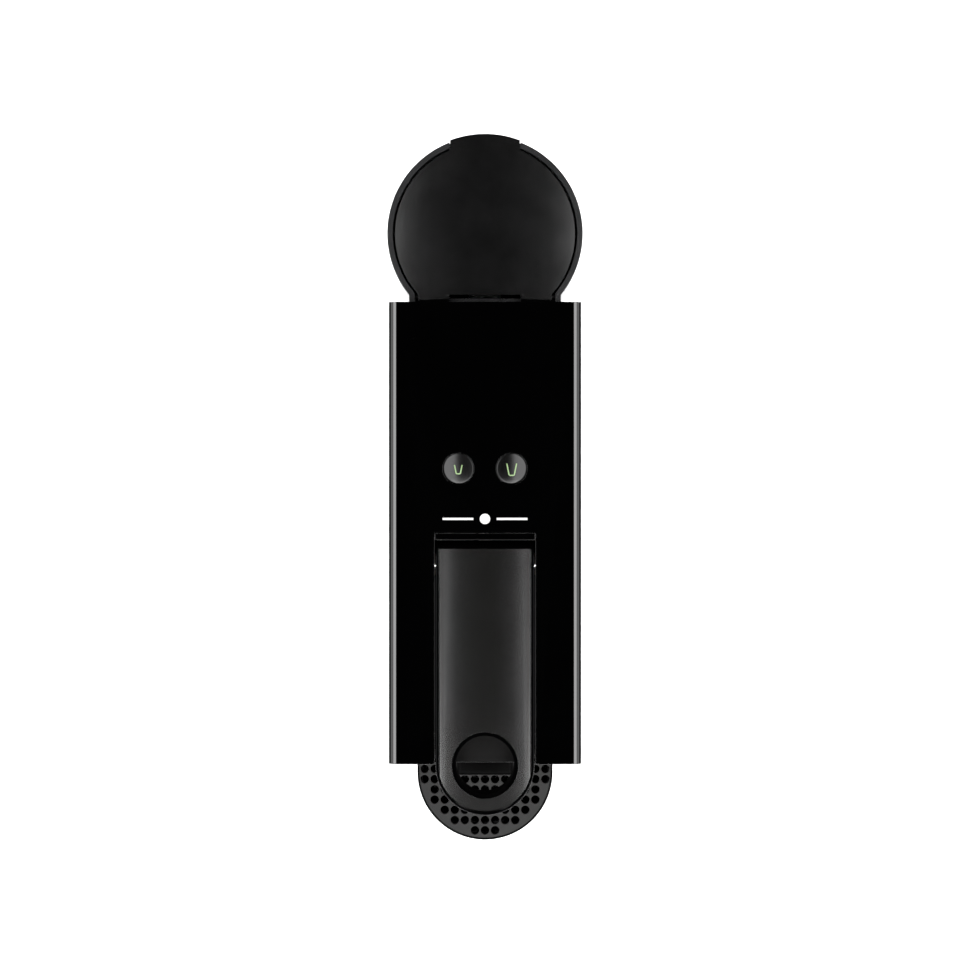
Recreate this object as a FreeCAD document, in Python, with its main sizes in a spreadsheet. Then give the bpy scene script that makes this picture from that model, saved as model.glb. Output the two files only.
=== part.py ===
"""Slim pod coffee machine as a bench assembly: casing, lever brew unit, pump, heater, tank and drip drawer.

Frame: X to the machine's right, Y to the rear (the tank), Z up. The origin is the middle of the bounding
box on the surface that the machine stands on. Lengths are in millimetres, angles in degrees.
"""
import FreeCAD
import Part
import Sketcher
import math
import os
import re
from FreeCAD import Placement, Rotation, Vector

# Driving dimensions: the document's sheet holds these, and every size below is worked out from them.
SIZES = {
    # casing
    "body_width": 82.0, "body_rear": 92.0, "body_front": -104.6, "column_front": -80.0,
    "body_top": 204.0, "cover_base": 188.0, "head_base": 139.0, "wall": 2.2, "skin": 2.4,
    "edge_round": 4.2, "edge_trim": 0.72, "corner_round": 0.5, "seam": 0.3, "base_low": 2.5, "base_top": 5.0,
    "foot_radius": 6.0,
    # lever and toggle linkage
    "lever_width": 42.0, "lever_gap": 0.5, "lever_base": 191.0, "ring_y": -105.3, "finger_radius": 13.9,
    "ring_step": 1.4,
    "pad_inset": 1.3, "pad_thick": 2.0, "lever_wall": 1.6, "pivot_y": -19.7, "pivot_z": 194.0,
    "barrel_radius": 10.0, "axle_radius": 3.0, "crank_throw": 14.0, "link_length": 46.0,
    "arm_in": 13.4, "arm_out": 16.2, "link_in": 16.8, "link_out": 19.0, "pin_radius": 2.5,
    "strip_rear": -6.7,
    # brew unit
    "brew_z": 165.0, "cage_front": -92.0, "cage_rear": -60.0, "cage_radius": 16.4,
    "cup_mouth": 15.0, "cup_base": 12.0, "cup_depth": 26.0, "frame_in": 19.6, "frame_out": 22.0,
    "spout_front": -116.0, "spout_half": 13.0, "spout_base": 120.0, "spout_top": 165.0,
    # buttons
    "button_x": 11.35, "button_y": 21.0, "button_radius": 6.4, "button_gap": 0.3,
    "button_flange": 7.8, "button_dome": 26.0, "glyph_stroke": 0.55, "board_z": 188.4, "mark_y": -0.3,
    # water tank
    "tank_radius": 42.0, "tank_y": 122.2, "neck_half": 32.6, "neck_front": 92.4, "tank_wall": 2.3,
    "tank_base": 14.0, "tank_top": 196.0, "lid_radius": 38.7, "lid_thick": 2.5, "lid_crown": 634.0,
    "tab_half": 15.0, "tab_reach": 42.8, "hose_z": 7.5, "hose_radius": 2.4, "barb_radius": 1.3,
    "hinge_y": 95.0, "hinge_z": 193.9, "hinge_radius": 2.0, "valve_y": 112.0,
    # drip drawer
    "tray_radius": 34.2, "tray_y": -131.3, "tray_low": 1.0, "rim_top": 60.2, "grid_top": 60.0,
    "grid_thick": 2.2, "tray_wall": 2.2, "rim_wall": 0.6, "hole_pitch": 5.1, "row_pitch": 5.18,
    "hole_size": 4.35, "hole_limit": 31.1, "shelf_low": 5.6, "shelf_thick": 2.2,
    "bin_half": 35.6, "bin_front": -78.2, "bin_rear": -13.0, "bin_top": 117.5, "bin_wall": 1.8,
}

os.makedirs("parts", exist_ok=True)
doc = FreeCAD.newDocument("PodMachine")
sheet = doc.addObject("Spreadsheet::Sheet", "Sizes")
for row, (alias, value) in enumerate(SIZES.items(), start=1):
    sheet.set(f"A{row}", alias)
    sheet.set(f"B{row}", str(value))
    sheet.setAlias(f"B{row}", alias)
doc.recompute()

ALONG = {"x": Rotation(Vector(0, 0, 1), Vector(1, 0, 0)), "y": Rotation(Vector(0, 0, 1), Vector(0, 1, 0)),
         "z": Rotation()}
subparts = []


# ---- helpers: expressions ---------------------------------------------------------------------------------

def linked(text):
    """An expression in which each driving dimension points at its cell."""
    return re.sub(r"[a-z_]+", lambda word: f"Sizes.{word.group()}" if word.group() in SIZES else word.group(),
                  str(text))


def amount(text):
    """The present value of an expression."""
    return float(sheet.evalExpression(linked(text)))


def bind(item, **properties):
    for path, text in properties.items():
        item.setExpression(path.replace("__", "."), linked(text))


def put(item, x, y, z, axis="z"):
    item.Placement = Placement(Vector(amount(x), amount(y), amount(z)), ALONG[axis])
    for letter, text in (("x", x), ("y", y), ("z", z)):
        item.setExpression(f"Placement.Base.{letter}", linked(text))
    return item


def keep(item, label):
    """Marks an object as a finished sub-part of that name."""
    item.Label = label
    subparts.append(item)
    return item


# ---- helpers: solids --------------------------------------------------------------------------------------

def block(name, low, high):
    """A box between two corners."""
    item = doc.addObject("Part::Box", name)
    bind(item, Length=f"({high[0]})-({low[0]})", Width=f"({high[1]})-({low[1]})",
         Height=f"({high[2]})-({low[2]})")
    return put(item, *low)


def rod(name, start, radius, length, axis="z"):
    """A cylinder from a point along one axis."""
    item = doc.addObject("Part::Cylinder", name)
    bind(item, Radius=radius, Height=length)
    return put(item, *start, axis)


def taper(name, start, radius, far_radius, length, axis="z"):
    """A cone from a point along one axis."""
    item = doc.addObject("Part::Cone", name)
    bind(item, Radius1=radius, Radius2=far_radius, Height=length)
    return put(item, *start, axis)


def fuse(name, *pieces):
    item = doc.addObject("Part::MultiFuse", name)
    item.Shapes = list(pieces)
    item.Refine = True
    return item


def cut(name, base, *tools):
    item = doc.addObject("Part::Cut", name)
    item.Base = base
    item.Tool = tools[0] if len(tools) == 1 else fuse(name + "_tools", *tools)
    item.Refine = True
    return item


def group(name, *pieces):
    """Separate solids that share one node."""
    item = doc.addObject("Part::Compound", name)
    item.Links = list(pieces)
    return item


def tube_path(points):
    """Straight runs joined by tangent arcs, each as large as its two runs allow."""
    corners = [Vector(*p) for p in points]
    edges, start = [], corners[0]
    for before, corner, after in zip(corners, corners[1:], corners[2:]):
        inward, outward = (before - corner), (after - corner)
        half_turn = (math.pi - inward.getAngle(outward)) / 2
        reach = 0.45 * min(inward.Length, outward.Length)
        first, last = corner + inward.normalize() * reach, corner + outward.normalize() * reach
        bisector = (inward + outward).normalize()
        radius = reach / math.tan(half_turn)
        middle = corner + bisector * (radius / math.cos(half_turn) - radius)
        edges += [Part.LineSegment(start, first).toShape(), Part.Arc(first, middle, last).toShape()]
        start = last
    edges.append(Part.LineSegment(start, corners[-1]).toShape())
    return Part.Wire(edges)


def hose(name, points, outer, inner):
    """A hose along its route, bored through."""
    path = tube_path([[amount(c) for c in p] for p in points])
    ends = []
    for radius in (outer, inner):
        direction = path.Edges[0].tangentAt(path.Edges[0].FirstParameter)
        ring = Part.Wire([Part.makeCircle(radius, path.Edges[0].Vertexes[0].Point, direction)])
        ends.append(path.makePipeShell([ring], True, False))
    item = doc.addObject("Part::Feature", name)
    item.Shape = ends[0].cut(ends[1])
    return item


def coil_spring(label, x, y, low, high, radius, wire, turns):
    """A compression spring standing on a point."""
    bottom, top = amount(low) + wire, amount(high) - wire
    helix = Part.makeHelix((top - bottom) / turns, top - bottom, radius)
    section = Part.Wire([Part.makeCircle(wire, Vector(radius, 0, 0), Vector(0, 1, 0))])
    item = doc.addObject("Part::Feature", label)
    item.Shape = Part.Wire(helix).makePipeShell([section], True, True)
    item.Placement = Placement(Vector(amount(x), amount(y), bottom), Rotation())
    return keep(item, label)


# ---- helpers: bodies made from sketches -------------------------------------------------------------------

def circle(x, y, radius):
    return ("circle", x, y, radius)


def new_body(label):
    body = doc.addObject("PartDesign::Body", label)
    return keep(body, label)


def pin_point(sketch, geometry, position, x, y):
    """Ties a point of a sketch to the origin by its two distances."""
    for kind, axis, text in (("DistanceX", -2, x), ("DistanceY", -1, y)):
        if text is None:
            continue
        if abs(amount(text)) < 1e-9:
            sketch.addConstraint(Sketcher.Constraint("PointOnObject", geometry, position, axis))
            continue
        number = sketch.addConstraint(
            Sketcher.Constraint(kind, -1, 1, geometry, position, amount(text)))
        sketch.setExpression(f"Constraints[{number}]", linked(text))


def draw_circle(sketch, x, y, radius):
    centre = Vector(amount(x), amount(y), 0)
    number = sketch.addGeometry(Part.Circle(centre, Vector(0, 0, 1), amount(radius)), False)
    pin_point(sketch, number, 3, x, y)
    size = sketch.addConstraint(Sketcher.Constraint("Radius", number, amount(radius)))
    sketch.setExpression(f"Constraints[{size}]", linked(radius))


def draw_outline(sketch, points):
    """A closed outline: a point (x, y) ends a straight edge, and (x, y, cx, cy, turn) an arc about cx, cy."""
    ends = []
    for before, point in zip([points[-1]] + points[:-1], points):
        start = Vector(amount(before[0]), amount(before[1]), 0)
        finish = Vector(amount(point[0]), amount(point[1]), 0)
        if len(point) == 2:
            number = sketch.addGeometry(Part.LineSegment(start, finish), False)
            ends.append((number, 1, 2))
            continue
        centre = Vector(amount(point[2]), amount(point[3]), 0)
        first, last = (start, finish) if point[4] == "ccw" else (finish, start)
        angles = [math.atan2((v - centre).y, (v - centre).x) for v in (first, last)]
        if angles[1] <= angles[0]:
            angles[1] += 2 * math.pi
        ring = Part.Circle(centre, Vector(0, 0, 1), (first - centre).Length)
        number = sketch.addGeometry(Part.ArcOfCircle(ring, *angles), False)
        ends.append((number, 1, 2) if point[4] == "ccw" else (number, 2, 1))
        chord = finish - start
        if abs(chord.x) >= abs(chord.y):
            pin_point(sketch, number, 3, None, point[3])
        else:
            pin_point(sketch, number, 3, point[2], None)
    for (number, _, finish), (following, start, _), point in zip(ends, ends[1:] + ends[:1], points):
        sketch.addConstraint(Sketcher.Constraint("Coincident", number, finish, following, start))
        pin_point(sketch, following, start, point[0], point[1])


def sketch_on(body, plane, offset, *loops):
    """A sketch on one of the body's origin planes, moved along its normal."""
    number = len([item for item in body.Group if item.isDerivedFrom("Sketcher::SketchObject")])
    sketch = body.newObject("Sketcher::SketchObject", f"{body.Name}_sketch_{number}")
    sketch.AttachmentSupport = [next(o for o in body.Origin.OriginFeatures if o.Role == plane)]
    sketch.MapMode = "FlatFace"
    bind(sketch, AttachmentOffset__Base__z=offset)
    for loop in loops:
        if loop[0] == "circle":
            draw_circle(sketch, *loop[1:])
        else:
            draw_outline(sketch, loop)
    return sketch


def pad(body, plane, offset, length, *loops):
    sketch = sketch_on(body, plane, offset, *loops)
    feature = body.newObject("PartDesign::Pad", f"{body.Name}_pad")
    feature.Profile = sketch
    bind(feature, Length=length)
    doc.recompute()
    return feature


def pocket(body, plane, offset, length, *loops):
    """Cuts from the sketch along the plane's normal, and stops if nothing was cut."""
    before = body.Shape.Volume
    sketch = sketch_on(body, plane, offset, *loops)
    feature = body.newObject("PartDesign::Pocket", f"{body.Name}_pocket")
    feature.Profile = sketch
    feature.Reversed = True
    bind(feature, Length=length)
    doc.recompute()
    if not body.Shape.Volume < before - 1e-3:
        raise RuntimeError(f"{feature.Name} cuts nothing")
    return feature


def revolve(body, *loops):
    """Turns an outline drawn in the XZ plane about the body's Z axis."""
    feature = body.newObject("PartDesign::Revolution", f"{body.Name}_turned")
    feature.Profile = sketch_on(body, "XZ_Plane", "0", *loops)
    feature.ReferenceAxis = (feature.Profile[0], ["V_Axis"])
    bind(feature, Angle="360")
    doc.recompute()
    return feature


def soften(body, radius, chosen):
    """Rounds the edges of the body that pass the test."""
    names = [f"Edge{i}" for i, edge in enumerate(body.Shape.Edges, start=1) if chosen(edge)]
    if not names:
        raise RuntimeError(f"{body.Name} has no such edge")
    below = body.Tip
    feature = body.newObject("PartDesign::Fillet", f"{body.Name}_round")
    feature.Base = (below, names)
    bind(feature, Radius=radius)
    doc.recompute()
    return feature


def rectangle(x_low, y_low, x_high, y_high):
    return [(x_low, y_low), (x_high, y_low), (x_high, y_high), (x_low, y_high)]


def along(edge, axis):
    """Whether a straight edge runs along an axis."""
    if edge.Curve.TypeId != "Part::GeomLine":
        return False
    return abs(abs(getattr(edge.Curve.Direction, axis)) - 1) < 1e-6


def at(edge, axis, text):
    """Whether an edge's middle lies at a coordinate."""
    return abs(getattr(edge.CenterOfMass, axis) - amount(text)) < 0.02


# ---- casing -----------------------------------------------------------------------------------------------

HALF = "body_width/2"
INSIDE = "(body_width/2-wall)"
CHANNEL = "(lever_width/2+lever_gap)"
CHANNEL_WALL = "(lever_width/2+lever_gap+wall)"
BRIDGE_REAR = "(body_front+11)"


def top_cover():
    """Gloss lid of the casing: a shallow shell with the lever's channel, two button holes and board posts."""
    body = new_body("top_cover")
    depth = "(body_top-cover_base)"
    spare = f"({HALF}+edge_trim)"
    pad(body, "XY_Plane", "cover_base", depth, rectangle(f"-{spare}", "body_front", spare, "body_rear"))
    soften(body, "edge_round", lambda e: along(e, "y") and at(e, "z", "body_top"))
    pocket(body, "XY_Plane", "cover_base-1", f"{depth}+2",
           rectangle(HALF, "body_front-1", f"{spare}+1", "body_rear+1"),
           rectangle(f"-{spare}-1", "body_front-1", f"-{HALF}", "body_rear+1"))
    hollow = [(f"-{INSIDE}", "body_front+wall"), (f"-{CHANNEL_WALL}", "body_front+wall"),
              (f"-{CHANNEL_WALL}", "strip_rear+seam+wall"), (CHANNEL_WALL, "strip_rear+seam+wall"),
              (CHANNEL_WALL, "body_front+wall"), (INSIDE, "body_front+wall"),
              (INSIDE, "body_rear-wall"), (f"-{INSIDE}", "body_rear-wall")]
    pocket(body, "XY_Plane", "cover_base-1", f"{depth}-skin+1", hollow)
    pocket(body, "XY_Plane", "cover_base-1", f"{depth}+2",
           rectangle(f"-{CHANNEL}", "body_front-1", CHANNEL, "strip_rear+seam"))
    soften(body, "0.9", lambda e: at(e, "y", "body_front") and along(e, "z")
           and abs(e.CenterOfMass.x) < amount(CHANNEL) + 0.1)
    holes = [circle(f"{side}button_x", "button_y", "button_radius+button_gap") for side in ("", "-")]
    pocket(body, "XY_Plane", "body_top-skin-1", "skin+2", *holes)
    posts = [circle(f"{side}21", y, "2") for side in ("", "-") for y in ("button_y-9", "button_y+9")]
    pad(body, "XY_Plane", "board_z+1.6+seam", "body_top-skin-board_z-1.5", *posts)
    bores = [circle("pivot_y", "pivot_z", "5+seam/3")]
    pocket(body, "YZ_Plane", f"-{CHANNEL_WALL}-1", f"2*{CHANNEL_WALL}+2", *bores)
    pocket(body, "XY_Plane", "body_top-0.4", "1", *mark_outline("0.05"))


def mark_outline(grow):
    """Plain ornament on the cover: a disc between two short bars, with no lettering."""
    low_y, high_y = f"mark_y-0.45-({grow})", f"mark_y+0.45+({grow})"
    bars = [rectangle(f"{low}-({grow})", low_y, f"{low}+13+({grow})", high_y) for low in ("-18", "5")]
    return bars + [circle("0", "mark_y", f"2.2+({grow})")]


def top_mark():
    """Pale inlay that fills the ornament's recess, flush with the cover."""
    pad(new_body("top_mark"), "XY_Plane", "body_top-0.38", "0.38", *mark_outline("0"))


def side_panel(label, side):
    """Flat side wall, taller at the front where the brew head reaches over the drip tray."""
    body = new_body(label)
    low = INSIDE if side == "+" else f"-{HALF}"
    outline = [("column_front", "base_low"), ("body_rear", "base_low"), ("body_rear", "cover_base-seam"),
               ("body_front", "cover_base-seam"), ("body_front", "head_base"),
               ("column_front", "head_base")]
    pad(body, "YZ_Plane", low, "wall", outline)
    outer = HALF if side == "+" else f"-{HALF}"
    soften(body, "corner_round", lambda e: along(e, "z") and at(e, "x", outer))
    lip = f"{INSIDE}-2.3" if side == "+" else f"-{INSIDE}-0.1"
    pad(body, "XY_Plane", "base_low", "head_base-base_low",
        rectangle(lip, "column_front+0.2", f"{lip}+2.4", "column_front+1.8"))
    if side == "-":
        pocket(body, "YZ_Plane", f"-{HALF}-1", "wall+2", circle("78", "17", "4.6"))


def rear_cover():
    """Rear wall between the side panels, notched low down for the tank's water line."""
    body = new_body("rear_cover")
    low, high, half = "base_top+seam", "cover_base-seam", f"({INSIDE}-seam)"
    outline = [(f"-{half}", low), ("-8", low), ("-8", "13"), ("8", "13"), ("8", low), (half, low),
               (half, high), (f"-{half}", high)]
    pad(body, "XZ_Plane", "-body_rear", "wall", outline)


def front_cover():
    """Front wall of the brew head, notched for the coffee outlet and the slot frame."""
    body = new_body("front_cover")
    notch = "(spout_half+0.5)"
    outline = [(f"-{INSIDE}+seam", "head_base+wall+seam"), (f"-{notch}", "head_base+wall+seam"),
               (f"-{notch}", "spout_top+1"), (notch, "spout_top+1"), (notch, "head_base+wall+seam"),
               (f"{INSIDE}-seam", "head_base+wall+seam"), (f"{INSIDE}-seam", "cover_base-seam"),
               (CHANNEL, "cover_base-seam"), (CHANNEL, "cover_base-8"), (f"-{CHANNEL}", "cover_base-8"),
               (f"-{CHANNEL}", "cover_base-seam"), (f"-{INSIDE}+seam", "cover_base-seam")]
    pad(body, "XZ_Plane", "-body_front-wall", "wall", outline)


def head_underside():
    """Floor of the brew head, notched for the outlet in front and for the capsule chute behind."""
    body = new_body("head_underside")
    spout, chute = "(spout_half+0.5)", "26"
    front, rear, side = "body_front", "column_front", f"({INSIDE}-seam)"
    outline = [(f"-{side}", front), (f"-{spout}", front), (f"-{spout}", f"{front}+7"), (spout, f"{front}+7"),
               (spout, front), (side, front), (side, rear), (chute, rear), (chute, f"{rear}-11"),
               (f"-{chute}", f"{rear}-11"), (f"-{chute}", rear), (f"-{side}", rear)]
    pad(body, "XY_Plane", "head_base", "wall", outline)


def slot_frame():
    """Matt bridge across the front of the capsule slot, under the lever's ring."""
    body = new_body("slot_frame")
    profile = [("body_front+0.2", "cover_base-7.6"), ("body_front+3", "cover_base-7.6"),
               ("body_front+3", "cover_base-1"), (BRIDGE_REAR, "cover_base-1"),
               (BRIDGE_REAR, "cover_base+2"), ("body_front-0.6", "cover_base+2"),
               ("body_front-1.4", "cover_base+1.2", "body_front-0.6", "cover_base+1.2", "ccw"),
               ("body_front-1.4", "cover_base+0.4"), ("body_front+0.2", "cover_base+0.4")]
    pad(body, "YZ_Plane", f"-{CHANNEL}+seam", f"2*({CHANNEL}-seam)", profile)


def hinge_strip():
    """Narrow cover strip behind the lever, over its hinge."""
    body = new_body("hinge_strip")
    pad(body, "XY_Plane", "body_top-skin", "skin-0.1",
        rectangle(f"-{CHANNEL}+0.15", "pivot_y+barrel_radius+0.45", f"{CHANNEL}-0.15", "strip_rear+seam/2"))


FEET = (("30", "-70"), ("-30", "-70"), ("26", "136"), ("-26", "136"))
SCREWS = (("31", "2"), ("-31", "2"), ("31", "64"), ("-31", "64"))


def base_plate():
    """Floor plate of the casing, with seats for the front feet and the screws."""
    body = new_body("base_plate")
    holes = [circle(x, y, "2.1") for x, y in FEET[:2]] + [circle(x, y, "1.9") for x, y in SCREWS]
    pad(body, "XY_Plane", "base_low", "base_top-base_low",
        rectangle(f"-{INSIDE}+seam", "column_front+2.1", f"{INSIDE}-seam", "body_rear-seam"), *holes)


def tank_outline(inset="0"):
    """Plan of the tank: a round drum with a short neck towards the casing."""
    half, radius = f"(neck_half-({inset}))", f"(tank_radius-({inset}))"
    rise = f"(tank_y-sqrt({radius}*{radius}-{half}*{half}))"
    return [(half, f"neck_front+({inset})"), (half, rise), (f"-{half}", rise, "0", "tank_y", "ccw"),
            (f"-{half}", f"neck_front+({inset})")]


def tank_seat():
    """Hollow rear foot of the machine that the tank stands on."""
    body = new_body("tank_seat")
    pad(body, "XY_Plane", "base_low", "tank_base-seam-base_low", tank_outline())
    pocket(body, "XY_Plane", "base_low-1", "tank_base-seam-base_low-wall+1", tank_outline("wall"))
    pad(body, "XY_Plane", "base_low", "tank_base-seam-base_low-1", circle("0", "valve_y", "10"))
    pocket(body, "XY_Plane", "8.2", "10", circle("0", "valve_y", "7.8"))
    pocket(body, "XY_Plane", "base_low-1", "10", circle("0", "valve_y", "5.7"))
    pocket(body, "YZ_Plane", "-3", "6", rectangle("neck_front-1", "base_low-1", "valve_y-5", "10.4"))
    stands = [circle(x, y, "4") for x, y in FEET[2:]]
    pad(body, "XY_Plane", "base_low", "tank_base-seam-base_low-1", *stands)
    pocket(body, "XY_Plane", "base_low-1", "4", *[circle(x, y, "2.1") for x, y in FEET[2:]])


def rubber_feet():
    """Four push-in feet."""
    feet = []
    for number, (x, y) in enumerate(FEET):
        disc = rod(f"foot_disc_{number}", (x, y, "0"), "foot_radius", "base_low-0.05")
        stem = rod(f"foot_stem_{number}", (x, y, "1"), "2", "base_low+1")
        feet.append(fuse(f"foot_{number}", disc, stem))
    keep(group("feet_group", *feet), "rubber_feet")


def base_screws():
    """Four screws that hold the floor plate to the chassis."""
    screws = []
    for number, (x, y) in enumerate(SCREWS):
        head = rod(f"screw_head_{number}", (x, y, "base_low-1.4"), "3.2", "1.35")
        shank = rod(f"screw_shank_{number}", (x, y, "base_low-1"), "1.7", "12")
        slot = block(f"screw_slot_{number}", (f"{x}-2.4", f"{y}-0.4", "0"),
                     (f"{x}+2.4", f"{y}+0.4", "base_low-0.8"))
        screws.append(cut(f"screw_{number}", fuse(f"screw_solid_{number}", head, shank), slot))
    keep(group("screw_group", *screws), "base_screws")


def cord_gland():
    """Bush in the left wall where the mains lead enters."""
    flange = rod("gland_flange", (f"-{HALF}-0.8", "78", "17"), "7", "0.75", "x")
    sleeve = rod("gland_sleeve", (f"-{HALF}-0.5", "78", "17"), "4.5", "6", "x")
    bore = rod("gland_bore", (f"-{HALF}-2", "78", "17"), "3.1", "20", "x")
    keep(cut("gland", fuse("gland_solid", flange, sleeve), bore), "cord_gland")


# ---- chassis, water and power -----------------------------------------------------------------------------

PUMP_X, PUMP_Y = "14", "62"


def chassis():
    """Sheet frame inside the column: a bulkhead behind the bin, a shelf for the heater and two feet."""
    width = f"({INSIDE}-seam)"
    plates = [block("bulkhead", (f"-{width}", "-8", "base_top"), (width, "-5.6", "134")),
              block("shelf", (f"-{width}", "-7", "131.6"), (width, "86", "134"))]
    for number, low in enumerate(("27", "-35")):
        plates.append(block(f"chassis_foot_{number}", (low, "-6", "base_top"), (f"{low}+8", "84.4", "7.4")))
        plates.append(block(f"chassis_post_{number}", (low, "82", "base_top"), (f"{low}+8", "84.4", "132")))
    plates += [block(f"chassis_lug_{n}", (f"{x}-4", f"{y}-4", "base_top"), (f"{x}+4", f"{y}+4", "14"))
               for n, (x, y) in enumerate(SCREWS)]
    cuts = [rod(f"chassis_bore_{n}", (x, y, "0"), "1.8", "20") for n, (x, y) in enumerate(SCREWS)]
    cuts.append(block("hose_window", ("6", "54", "125"), ("22", "70", "140")))
    keep(cut("chassis_cut", fuse("chassis_solid", *plates), *cuts), "chassis_frame")


def pump():
    """Vibration pump: coil in its yoke, brass outlet and plastic inlet on one upright axis."""
    coil = rod("pump_coil", (PUMP_X, PUMP_Y, "44"), "16", "34")
    yoke = cut("pump_yoke", block("yoke_solid", (f"{PUMP_X}-13", f"{PUMP_Y}-19", "42"),
                                  (f"{PUMP_X}+13", f"{PUMP_Y}+19", "80")),
               block("yoke_space", (f"{PUMP_X}-14", f"{PUMP_Y}-17.4", "43.6"),
                     (f"{PUMP_X}+14", f"{PUMP_Y}+17.4", "78.4")))
    body = rod("pump_body", (PUMP_X, PUMP_Y, "30"), "8", "62")
    head = rod("pump_head", (PUMP_X, PUMP_Y, "91"), "10", "12")
    barbs = [rod("pump_inlet", (PUMP_X, PUMP_Y, "18"), "3", "13"),
             rod("pump_elbow", (PUMP_X, f"{PUMP_Y}-18", "21"), "barb_radius", "18", "y"),
             rod("pump_outlet", (PUMP_X, PUMP_Y, "102"), "barb_radius", "6")]
    keep(fuse("pump_solid", coil, yoke, body, head, *barbs), "water_pump")


def pump_mounts():
    """Two rubber rings that carry the pump and quieten it."""
    rings = []
    for number, low in enumerate(("34", "83")):
        solid = rod(f"mount_ring_{number}", (PUMP_X, PUMP_Y, low), "13", "6")
        bore = rod(f"mount_bore_{number}", (PUMP_X, PUMP_Y, f"{low}-1"), "8.1", "8")
        rings.append(cut(f"mount_{number}", solid, bore))
    keep(group("mount_group", *rings), "pump_mounts")


def pump_bracket():
    """Two forks from the right wall side that hold the rubber rings."""
    forks = []
    for number, low in enumerate(("34", "83")):
        plate = block(f"fork_{number}", (f"{PUMP_X}-10", f"{PUMP_Y}-15.5", low),
                      ("37", f"{PUMP_Y}+15.5", f"{low}+5"))
        space = rod(f"fork_bore_{number}", (PUMP_X, PUMP_Y, f"{low}-1"), "13.2", "8")
        forks.append(cut(f"fork_cut_{number}", plate, space))
    web = block("fork_web", ("35", f"{PUMP_Y}-15.5", "34"), ("37", f"{PUMP_Y}+15.5", "88"))
    keep(fuse("bracket_solid", *forks, web), "pump_bracket")


def flow_meter():
    """Turbine flow meter between the tank and the pump."""
    drum = rod("meter_drum", ("-8", "12", "14"), "13", "14")
    cap = rod("meter_cap", ("-8", "12", "27.9"), "10", "4")
    foot = block("meter_foot", ("-24", "9", "base_top+0.1"), ("8", "15", "14.5"))
    barbs = [rod(f"meter_barb_{n}", (x, "24", "21"), "barb_radius", "7", "y")
             for n, x in enumerate(("-15", "1"))]
    stub = block("meter_stub", ("-18", "16", "18"), ("4", "26", "24"))
    keep(fuse("meter_solid", drum, cap, foot, stub, *barbs), "flow_meter")


def thermoblock():
    """Cast aluminium flow heater with ribs, terminals and hose barbs."""
    core = block("heater_core", ("-26", "20", "140"), ("26", "78", "172"))
    ribs = [block(f"heater_rib_{n}", (f"-22+{n}*9", "22", "171.9"), (f"-19+{n}*9", "76", "176"))
            for n in range(6)]
    loop = [rod(f"heater_tube_{n}", (x, "76", "156"), "4", "8", "y") for n, x in enumerate(("-16", "16"))]
    barbs = [rod("heater_out", ("0", "10", "150"), "2.4", "11", "y"),
             rod("heater_in", (PUMP_X, PUMP_Y, "130"), "barb_radius", "11")]
    keep(fuse("heater_solid", core, *ribs, *loop, *barbs), "thermoblock")


def standoffs():
    """Insulating pillars: four under the heater and four behind the control board."""
    under = [rod(f"pillar_{n}", (x, y, "134"), "3.5", "6")
             for n, (x, y) in enumerate((("-21", "26"), ("-21", "72"), ("21", "76"), ("21", "26")))]
    behind = [rod(f"peg_{n}", (f"-{INSIDE}", y, z), "3", "4.4", "x")
              for n, (y, z) in enumerate((("6", "28"), ("70", "28"), ("6", "108"), ("70", "108")))]
    keep(group("standoff_group", *under, *behind), "standoffs")


def thermostats():
    """Sensor and thermal fuse clamped on the heater's side."""
    discs = []
    for number, y in enumerate(("36", "58")):
        disc = rod(f"thermo_disc_{number}", ("-31", y, "156"), "7", "4.9", "x")
        tabs = [block(f"thermo_tab_{number}_{k}", ("-35", f"{y}+{d}", "154"),
                      ("-30.9", f"{y}+{d}+0.8", "158")) for k, d in enumerate((-4, 3))]
        discs.append(fuse(f"thermo_{number}", disc, *tabs))
    keep(group("thermo_group", *discs), "thermostats")


def control_board():
    """Mains control board on the left wall, with relay, capacitors, triac cooler and connectors."""
    board = block("board", ("-34.4", "2", "24"), ("-32.8", "74", "112"))
    relay = block("relay", ("-32.9", "10", "84"), ("-17", "28", "104"))
    cooler = [block(f"cooler_{n}", ("-32.9", f"46+{n}*4", "78"), ("-20", f"47.6+{n}*4", "104"))
              for n in range(5)]
    cooler.append(block("cooler_back", ("-32.9", "46", "78"), ("-30", "63.6", "104")))
    cans = [rod(f"can_{n}", ("-32.9", y, "66"), "5", "12", "x") for n, y in enumerate(("14", "28"))]
    plugs = [block(f"plug_{n}", ("-32.9", f"10+{n}*16", "30"), ("-25", f"20+{n}*16", "38"))
             for n in range(4)]
    coil = block("filter_coil", ("-32.9", "44", "50"), ("-20", "62", "66"))
    keep(fuse("control_solid", board, relay, *cooler, *cans, *plugs, coil), "control_board")


def water_hoses():
    """Water line from the tank's coupling through the meter and the pump to the heater."""
    size = (amount("hose_radius"), amount("barb_radius") + 0.05)
    tank_run = hose("tank_run", [("0", "valve_y-7.4", "hose_z"), ("0", "84", "hose_z"), ("-6", "68", "11"),
                                 ("-15", "52", "21"), ("-15", "27", "21")], *size)
    meter_run = hose("meter_run", [("1", "27", "21"), ("1", "36.5", "21"), (PUMP_X, "38.5", "21"),
                                   (PUMP_X, "48", "21")], *size)
    pump_run = hose("pump_run", [(PUMP_X, PUMP_Y, "104"), (PUMP_X, PUMP_Y, "134")], *size)
    keep(group("hose_group", tank_run, meter_run, pump_run), "water_hoses")


def brew_hose():
    """Hot water hose from the heater to the moving cage."""
    keep(hose("brew_run", [("0", "9.8", "150"), ("0", "-20", "150"), ("0", "-36", "161"),
                           ("0", "cage_rear+8.1", "brew_z")], 2.9, 2.45), "brew_hose")


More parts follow.
